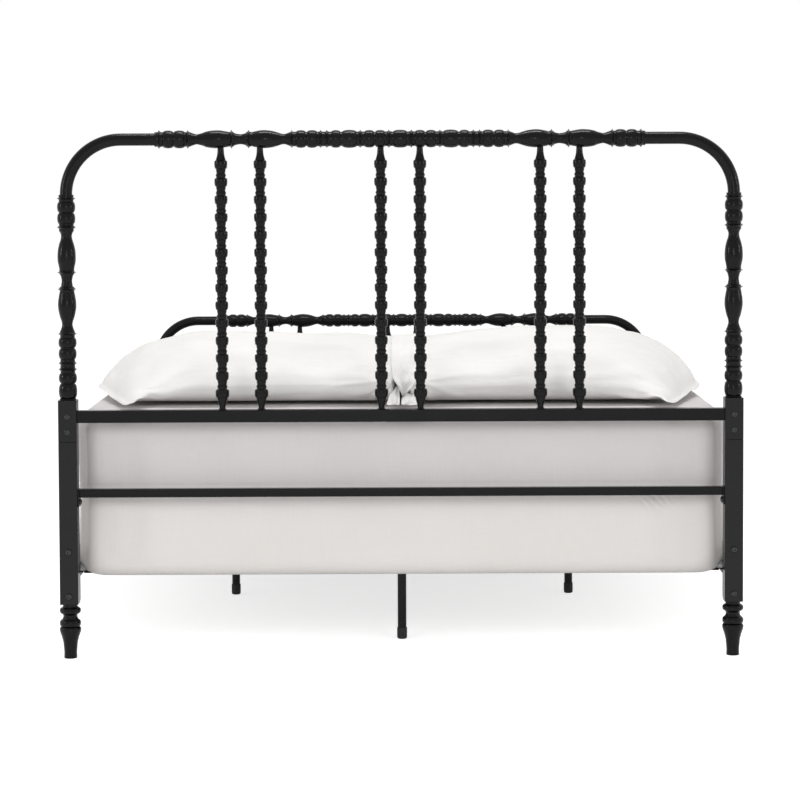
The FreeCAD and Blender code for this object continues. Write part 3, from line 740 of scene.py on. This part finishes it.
# The sleeves inside the stubs stay as the CAD has them
sleeve_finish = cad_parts["head_leg_sleeves"].data.materials
sleeve_finish.clear()
sleeve_finish.append(frame_black)


# ---------------- mattress


HALF_WIDTH, HALF_LENGTH, MATTRESS_HEIGHT, CROWN = 675.0, 952.5, 345.0, 5.0
STITCHES = 13.0  # how far above the seam the sheet's hem is sewn
# How the top rises from its edge inwards: (inset, rise)
TOP_CROWN = [(60.0, 0.8), (100.0, 2.0), (160.0, 3.2), (240.0, 4.2), (350.0, 4.7), (480.0, 4.9), (600.0, CROWN),
             (668.0, CROWN)]


def mattress_loop(inset, height, count=90):
    """A level loop of the mattress, evenly spaced along its sides."""
    corner, steps = max(48.0 - 0.3 * inset, 4.0), 8
    arcs = rounded_square(HALF_WIDTH - inset, HALF_LENGTH - inset, corner, height, steps)
    loop = []
    for quarter in range(4):
        after = (quarter + 1) * (steps + 1)
        loop += arcs[after - steps - 1:after]
        start, end = Vector(arcs[after - 1]), Vector(arcs[after % len(arcs)])
        runs = count if quarter in (0, 2) else int(count * 1.4)
        loop += [start.lerp(end, k / runs) for k in range(1, runs)]
    return loop


def mattress():
    """A thick mattress with rolled edges, a crowned top and a sheet whose hem lies along the seam."""
    low, high, seam = MATTRESS_TOP - MATTRESS_HEIGHT, MATTRESS_TOP - CROWN, MATTRESS_SEAM
    quarter_turn = [0.5 * math.pi * step / 8 for step in range(9)]
    roll_in, roll_up, round_in, round_down = 24.0, 30.0, 36.0, 46.0
    # From under the middle round to over the middle: (inset, height)
    levels = [(inset, low) for inset in (600.0, 300.0, 80.0, 40.0, 34.0)]
    levels += [(roll_in * (1 - math.sin(turn)), low + roll_up * (1 - math.cos(turn))) for turn in quarter_turn]
    straight = high - low - (roll_up + round_down)
    walls = [low + roll_up + straight * step / 26 for step in range(1, 26)]
    walls = [z for z in walls if abs(z - seam) > 4 and abs(z - seam - STITCHES) > 4]
    walls += [seam - 0.7, seam + 0.7, seam + 11.0, seam + STITCHES, seam + 15.0]
    levels += [(0.0, z) for z in sorted(walls)]
    levels += [(round_in * (1 - math.cos(turn)), high - round_down * (1 - math.sin(turn)))
               for turn in quarter_turn]
    levels += [(inset, high + rise) for inset, rise in TOP_CROWN]
    shape = Shape().sections([mattress_loop(inset, height) for inset, height in levels])
    for p in shape.points:
        # Its ends droop past the last slats
        past_slat = share(abs(p.y), 922.0, 932.0)
        p.z -= 8.0 * past_slat * max(0.0, 1.0 - (p.z - low) / 60.0)
        if low + roll_up < p.z < high - 20:
            sideways = abs(p.x / HALF_WIDTH) > abs(p.y / HALF_LENGTH)
            way = Vector((math.copysign(1, p.x), 0, 0) if sideways else (0, math.copysign(1, p.y), 0))
            soft = noise.noise(Vector((p.x, p.y, p.z)) * 0.004) * 2.2
            waist = -2.2 * math.sin(math.pi * share(p.z, low, high)) ** 2
            corner = (Vector((abs(p.x), abs(p.y), 0)) - Vector((640.0, 918.0, 0))).length / 110.0
            fold = noise.noise(Vector((p.x * 0.03, p.y * 0.03, p.z * 0.005 + 4.0)))
            fold *= 5.0 * math.exp(-corner ** 2)
            # The sheet lies over the cover, and a row of stitches draws its hem in
            hem = 1.4 if p.z > seam else 0.0
            stitches = -1.0 if abs(p.z - seam - STITCHES) < 0.5 else 0.0
            p += way * (soft + waist + fold + hem + stitches)
    return shape


mattress_cover = mattress().piece("mattress_cover", sheet_cotton_painted_shade, "mattress_cloth", "mattress", "mattress",
                                  crisp=60.0)
# Faces above the seam take the sheet's darker colour, which is partly painted shade over the upper part of the
# sides.
mattress_cover.data.materials.append(ticking_cotton)
for face in mattress_cover.data.polygons:
    if face.center.z / MM < MATTRESS_SEAM:
        face.material_index = 1


# ---------------- pillows


# A pillow's section at its middle: place along the bed (y) and height above the mattress
SECTION = [(-850.0, 0.0), (-888.0, 5.0), (-911.0, 20.0), (-918.0, 42.0), (-904.0, 67.0), (-865.0, 95.0),
           (-805.0, 119.0), (-725.0, 136.0), (-640.0, 141.0), (-560.0, 126.0), (-497.0, 88.0), (-466.0, 40.0),
           (-478.0, 12.0), (-515.0, 0.0), (-600.0, 0.0), (-680.0, 0.0), (-760.0, 0.0)]
# How far from the middle its outer end lies, along the bed (y)
OUTER_END = [(-965.0, 562.0), (-900.0, 584.0), (-800.0, 622.0), (-650.0, 664.0), (-570.0, 678.0),
             (-500.0, 674.0), (-440.0, 662.0)]
INNER_END = -14.0
PILLOW_MIDDLE = -690.0
NEAREST = -954.0  # how near the headboard a pillow may come
# How high each pillow's crest stands along it, from its inner end (0) to its outer one (1)
LEFT_CREST = [(0, 0.91), (0.094, 0.924), (0.234, 0.95), (0.39, 0.975), (0.55, 1.0), (0.75, 0.99), (1, 1.0)]
RIGHT_CREST = [(0, 0.83), (0.094, 0.865), (0.234, 0.965), (0.39, 1.01), (0.55, 1.02), (0.75, 1.0), (1, 1.0)]


def meeting(side, point):
    """Where the two pillows press against each other, as the least distance of one from the middle."""
    wander = 3.5 * math.sin(point.z / 17.0 + point.y / 60.0) + 2.2 * math.sin(point.z / 7.0 - point.y / 31.0)
    return 1.2 + side * wander


def between(table, key):
    """A straight-line reading of a table of (key, value)."""
    if key <= table[0][0]:
        return table[0][1]
    for (a, low), (b, high) in zip(table, table[1:]):
        if key <= b:
            return low + (high - low) * (key - a) / (b - a)
    return table[-1][1]


def closed_section(steps=5):
    """The section's smooth closed line."""
    line = []
    for k in range(len(SECTION)):
        line += smooth_span(*(SECTION[(k + shift) % len(SECTION)] for shift in (-1, 0, 1, 2)), steps)
    return line


def pillow_form(side, seed, full, short, crest, stations=104):
    """A filled pillow lying on the mattress, right of the middle: blunt sides, pinched outer corners."""
    loops = []
    section = closed_section()
    for k in range(stations + 1):
        u = 0.5 - 0.5 * math.cos(math.pi * k / stations)
        u = 0.45 * u + 0.55 * k / stations
        s = max((u - 0.6) / 0.4, 0.0)
        outer = max(1 - (s / 0.97) ** 2.6, 0.0) ** 0.7
        outer = max(outer, 0.07 * min((1 - s) / 0.03, 1.0) ** 0.5)
        near_end = max(1 - u / 0.04, 0.0)
        inner = max(1 - near_end ** 3.6, 0.0) ** 0.5
        loop = []
        for y, z in section:
            head_side, foot_side = share(-y, 780.0, 910.0), share(y, -560.0, -470.0)
            # Near the outer corners the bag narrows before it ends
            corner = max((u - 0.72) / 0.28, 0.0)
            tall = outer * (1 - 0.32 * head_side * corner ** 1.5 - 0.22 * foot_side * corner ** 2)
            seam = 1.5 + 12.0 * share(y, -930.0, -630.0)
            height = seam + (z - seam) * tall if u > 0.6 else z
            height = 48.0 + (height - 48.0) * (0.25 + 0.75 * inner) if near_end else height
            spread_y = y - 50.0 * head_side * max((u - 0.87) / 0.13, 0.0) ** 1.5
            if near_end:
                spread_y = PILLOW_MIDDLE + (spread_y - PILLOW_MIDDLE) * (1 - 0.2 * (1 - inner))
            height *= 1 + (between(crest, u) * full - 1) * min(height / 90.0, 1.0)
            x = INNER_END + u * (between(OUTER_END, y) - short - INNER_END)
            x += 4.0 * (1 - inner) * abs(height - 80.0) / 62.0
            tucked = head_side ** 1.5 * (1 - min(height / 130.0, 1.0) ** 3)
            x += 25.0 * tucked * max(1 - u / 0.16, 0.0) ** 1.5
            loop.append(Vector((x, spread_y, max(height, 0.0))))
        loops.append(loop)
    shape = Shape().sections(loops, caps=False)
    # Close the ends with a fan round their middle
    around = len(section)
    for base, flip in ((0, True), (stations * around, False)):
        middle = sum((shape.points[base + i] for i in range(around)), Vector()) / around
        shape.points.append(middle)
        hub = len(shape.points) - 1
        for i in range(around):
            face = (base + i, base + (i + 1) % around, hub)
            shape.faces.append(face[::-1] if flip else face)
    # Where folds run together: (place, how many, how deep, how far they run)
    gathers = [(Vector((585.0, -925.0, 10.0)), 9.0, 7.5, 120.0), (Vector((668.0, -500.0, 22.0)), 8.0, 6.0, 95.0),
               (Vector((8.0, -850.0, 42.0)), 11.0, 6.0, 80.0)]
    for p in shape.points:
        lift = min(p.z / 14.0, 1.0)
        move = noise.noise(Vector((p.x * 0.0075, p.y * 0.0075, p.z * 0.012 + seed))) * 6.5
        move += noise.noise(Vector((p.x * 0.006, p.y * 0.02, p.z * 0.05 + 2 * seed))) * 4.2
        for point, folds, depth, fade in gathers:
            gap = p - point
            far = gap.length
            turn = math.atan2(gap.z * 1.6 + 0.35 * gap.y, abs(gap.x) + 1.0)
            turn += 0.5 * noise.noise(Vector((turn * 2.0, far * 0.01, seed)))
            move += depth * math.sin(folds * turn) * math.exp(-far / fade) * min(far / 45.0, 1.0)
        pinch = (p - Vector((545.0, -915.0, 18.0))).length / 24.0
        move -= 24.0 * math.exp(-pinch * pinch)
        away = Vector((0.0, (p.y - PILLOW_MIDDLE) / 240.0, (p.z - 50.0) / 70.0)).normalized()
        p += away * move * lift
        p.x, p.z = max(p.x, meeting(side, p)), max(p.z, 0.0)
    return shape


def blown(shape, side, frames=20, pressure=3.0, most=4.0):
    """The form after a cloth simulation with air inside, no point further than most from where it was."""
    scene, bag = bpy.context.scene, put("bag", shape.mesh("bag"))
    modifier = bag.modifiers.new("Cloth", "CLOTH")
    settings = modifier.settings
    settings.quality = 5
    settings.mass = 0.25
    settings.tension_stiffness = settings.compression_stiffness = 18.0
    settings.shear_stiffness = 8.0
    settings.bending_stiffness = 0.25
    settings.air_damping = 2.0
    settings.use_pressure = True
    settings.uniform_pressure_force = pressure
    settings.effector_weights.gravity = 0.0
    modifier.collision_settings.use_collision = False
    modifier.point_cache.frame_start = 1
    modifier.point_cache.frame_end = frames
    for number in range(1, frames + 1):
        scene.frame_set(number)
    result = bpy.data.meshes.new_from_object(bag.evaluated_get(bpy.context.evaluated_depsgraph_get()))
    for p, vertex in zip(shape.points, result.vertices):
        move = vertex.co / MM - p
        if move.length > most:
            move *= most / move.length
        move.x *= share(p.x, 0.0, 60.0)
        p += move
        p.x, p.y, p.z = max(p.x, meeting(side, p)), max(p.y, NEAREST), min(max(p.z, 0.0), 148.0)
    bpy.data.objects.remove(bag)
    bpy.data.meshes.remove(result)
    scene.frame_set(1)
    return shape


def sheet(rows, thick, way):
    """A closed sheet of cloth through rows of points, thick along way(point)."""
    return Shape().sections([row + [p + way(p) * thick for p in reversed(row)] for row in rows])


def fan(side, seed, top, bottom, across=30, down=16):
    """Loose cloth of a pillowcase's mouth: out of the pillow, over a crumpled edge, down on the mattress."""
    rows = []
    for j in range(down + 1):
        b = j / down
        row = []
        for i in range(across + 1):
            a = i / across
            fold = math.sin(2 * math.pi * (1.6 * a + 0.13 * seed) + 1.3 * b)
            edge_x, edge_y, edge_z = (start + (end - start) * a for start, end in zip(*top))
            foot_x = bottom[0] + (bottom[1] - bottom[0]) * a
            if b < 0.3:
                t = b / 0.3
                x, y, z = edge_x, edge_y + 34.0 * (1 - t), edge_z - 10.0 * (1 - t)
            else:
                t = (b - 0.3) / 0.7
                x = edge_x + (foot_x - edge_x) * t ** 0.8
                y = edge_y + (bottom[2] - edge_y) * t
                z = edge_z + (1.4 - edge_z) * t ** 1.25
            z += 3.0 * fold * math.exp(-abs(b - 0.3) * 5.0)
            y -= 4.5 * b * (1 - 0.5 * b) * fold + 5.0 * b * noise.noise(Vector((a * 2.5, b * 3.0, seed)))
            point = Vector((x, max(y, NEAREST + 2.0), max(z, 1.2)))
            point.x = max(x, meeting(side, point) + 0.6)
            row.append(point)
        rows.append(row)
    return sheet(rows, 2.0, lambda p: Vector((0, 1, 0)))


def flap(left, right, seed):
    """The right pillowcase's mouth, drawn over the end of the left pillow and gathered at its low end."""
    hub_y, hub_z = PILLOW_MIDDLE, 45.0
    trees = [BVHTree.FromPolygons([Vector((way * p.x, p.y, p.z)) for p in form.points], form.faces)
             for form, way in ((left, -1), (right, 1))]

    def reach(x, out):
        hits = [tree.ray_cast(Vector((x, hub_y, hub_z)), out)[3] for tree in trees]
        return max([hit for hit in hits if hit], default=0.0)

    rows = []
    for j in range(85):
        angle = math.radians(128.0 - 135.0 * (j / 84) ** 0.85)
        turned = math.degrees(angle)
        out = Vector((0, -math.cos(angle), math.sin(angle)))
        ends = max(reach(x, out) for x in (-23.0, -20.0, -16.0)) + 2.4, reach(34.0, out) + 1.2
        left_edge = between([(-7, 3.0), (-5, 1.0), (-3, -3.0), (-1, -8.0), (3, -18.5), (10, -20.5)], turned)
        right_edge = between([(-7, 6.0), (-5, 13.0), (-3, 23.0), (0, 34.0), (8, 46.0)], turned)
        left_edge += 0.7 * math.sin(turned / 3.1)
        row = []
        for i in range(33):
            b = i / 32
            x = right_edge + (left_edge - right_edge) * b
            t = share(x, -19.0, 34.0)
            r = max(ends[0] + (ends[1] - ends[0]) * t, reach(x, out) + 2.4)
            r -= 7.0 * max(1 - b / 0.24, 0.0) ** 1.5
            r -= 1.6 * max((turned - 118.0) / 10.0, 0.0)
            # Gathers run out of the low end
            height = hub_z + r * math.sin(angle)
            far = math.hypot(x - 4.0, height - 30.0)
            turn = math.atan2(x - 4.0, height - 26.0)
            turn += 0.45 * noise.noise(Vector((x * 0.03, height * 0.02, seed)))
            lifted = 5.2 * (1 + math.sin(8.0 * turn + 0.4)) * math.exp(-far / 46.0) * min(far / 14.0, 1.0)
            lifted += 6.0 * math.exp(-far / 15.0)
            crumple = noise.noise(Vector((x * 0.11, height * 0.11, seed + 4.0)))
            lifted += 4.5 * (1 + crumple) * math.exp(-far / 34.0)
            row.append(Vector((x, hub_y, hub_z)) + out * (r + lifted * min(8.0 * b, 1.0)))
            row[-1].y = max(row[-1].y, NEAREST + 4.0)
        rows.append(row)
    return sheet(rows, 1.3, lambda p: Vector((0, p.y - hub_y, p.z - hub_z)).normalized())


def pillow_case(name, side, *parts):
    """One pillow's case, laid on the mattress; side is -1 for the left one."""
    laid = Shape()
    for part in parts:
        laid.add(part, lambda p: Vector((side * p.x, p.y, p.z + MATTRESS_TOP + 0.4)))
    body = "left_pillow" if side < 0 else "right_pillow"
    piece = laid.piece(name + "_case", pillow_cotton, "pillow_cloth", body, name, crisp=80.0)
    smooth = piece.modifiers.new("Subdivision", "SUBSURF")
    smooth.levels = smooth.render_levels = 1


def pillows():
    left = pillow_form(-1, 3.0, 1.02, 1.0, LEFT_CREST)
    right = pillow_form(1, 17.0, 1.07, 9.0, RIGHT_CREST)
    blown(left, -1)
    blown(right, 1)
    left_fan = fan(-1, 2.0, ((2.0, -905.0, 39.0), (14.0, -897.0, 34.0)), (2.0, 31.0, -951.0))
    right_fan = fan(1, 5.0, ((1.0, -922.0, 19.0), (36.0, -922.0, 27.0)), (0.0, 40.0, -952.0))
    pillow_case("pillow_left", -1, left, left_fan)
    pillow_case("pillow_right", 1, right, right_fan, flap(left, right, 6.0))


pillows()


# ---------------- stage, light and camera


def soft_lamp(name, where, to, size, power, glossy=True):
    light = bpy.data.lights.new(name, "AREA")
    light.shape = "RECTANGLE"
    light.size, light.size_y = size
    light.energy = power
    lamp = put(name, light)
    lamp.location = where
    lamp.visible_glossy = glossy
    lamp.rotation_euler = (Vector(to) - Vector(where)).to_track_quat("-Z", "Y").to_euler()


def seen_directly(tree):
    """1 on rays from the camera, a gloss or glass, and 0 on the light that bounces."""
    rays = add_node(tree, "LightPath").outputs
    seen = maths(tree, "MAXIMUM", rays["Is Camera Ray"], rays["Is Glossy Ray"])
    return maths(tree, "MAXIMUM", seen, rays["Is Transmission Ray"])


def floor():
    """A floor that glows up to white where it is seen."""
    made = bpy.data.materials.new("floor_white")
    tree = emptied(made)
    grain = noise_node(tree, place(tree), 3.0)
    grey = ramp(tree, grain, [(0.2, (0.80, 0.80, 0.80)), (0.8, (0.84, 0.84, 0.84))])
    glow = maths(tree, "MULTIPLY", seen_directly(tree), 0.72)
    both = add_node(tree, "AddShader")
    tree.links.new(add_node(tree, "BsdfDiffuse", Color=grey).outputs["BSDF"], both.inputs[0])
    tree.links.new(add_node(tree, "Emission", Strength=glow).outputs["Emission"], both.inputs[1])
    add_node(tree, "OutputMaterial", Surface=both.outputs["Shader"])
    mesh = bpy.data.meshes.new("floor")
    mesh.from_pydata([(-30, -30, 0), (30, -30, 0), (30, 30, 0), (-30, 30, 0)], [], [(0, 1, 2, 3)])
    mesh.materials.append(made)
    put("floor", mesh)


def sky():
    """A white world, dimmer as a light than as a background."""
    world = bpy.data.worlds.new("studio")
    tree = emptied(world)
    mix = add_node(tree, "MixShader", Fac=seen_directly(tree))
    for socket, strength in zip(mix.inputs[1:], (0.4, 1.0)):
        white = add_node(tree, "Background", Color=(1, 1, 1, 1), Strength=strength)
        tree.links.new(white.outputs["Background"], socket)
    add_node(tree, "OutputWorld", Surface=mix.outputs["Shader"])
    bpy.context.scene.world = world


def camera():
    """The photograph's viewpoint: in front of the headboard's middle, a little under a metre up."""
    yaw, pitch, roll = (math.radians(angle) for angle in (0.433, -2.869, -0.199))
    level = Vector((math.sin(yaw), math.cos(yaw), 0))
    forward = level * math.cos(pitch) + Vector((0, 0, math.sin(pitch)))
    right = Vector((math.cos(yaw), -math.sin(yaw), 0))
    up = right.cross(forward)
    tilted_right = right * math.cos(roll) + up * math.sin(roll)
    tilted_up = up * math.cos(roll) - right * math.sin(roll)
    data = bpy.data.cameras.new("camera")
    data.sensor_width = 36.0
    data.lens = 2584.1 * 36.0 / 800.0
    data.shift_x, data.shift_y = -0.03, -0.12
    data.clip_end = 200.0
    eye = put("camera", data)
    turn = Matrix((tilted_right, tilted_up, -forward)).transposed().to_4x4()
    eye.matrix_world = Matrix.Translation((0.0078, -6.2874, 0.9955)) @ turn
    bpy.context.scene.camera = eye


floor()
sky()
soft_lamp("overhead", (0.0, -0.7, 3.7), (0.0, -0.5, 0.0), (2.0, 0.45), 58.0)
soft_lamp("front_left", (-4.0, -6.0, 2.9), (-0.8, -1.0, 0.4), (4.0, 2.2), 112.0, glossy=False)
soft_lamp("front_right", (4.0, -6.0, 2.9), (0.8, -1.0, 0.4), (4.0, 2.2), 112.0, glossy=False)
soft_lamp("catch", (0.0, -6.9, 1.3), (0.0, -1.0, 0.7), (0.6, 1.0), 24.0)
soft_lamp("left", (-4.2, -2.2, 1.5), (0.0, -0.9, 0.7), (0.15, 1.0), 23.0)
soft_lamp("right", (4.2, -2.2, 1.5), (0.0, -0.9, 0.7), (0.15, 1.0), 18.0)
camera()
bpy.context.scene.view_settings.view_transform = "Standard"
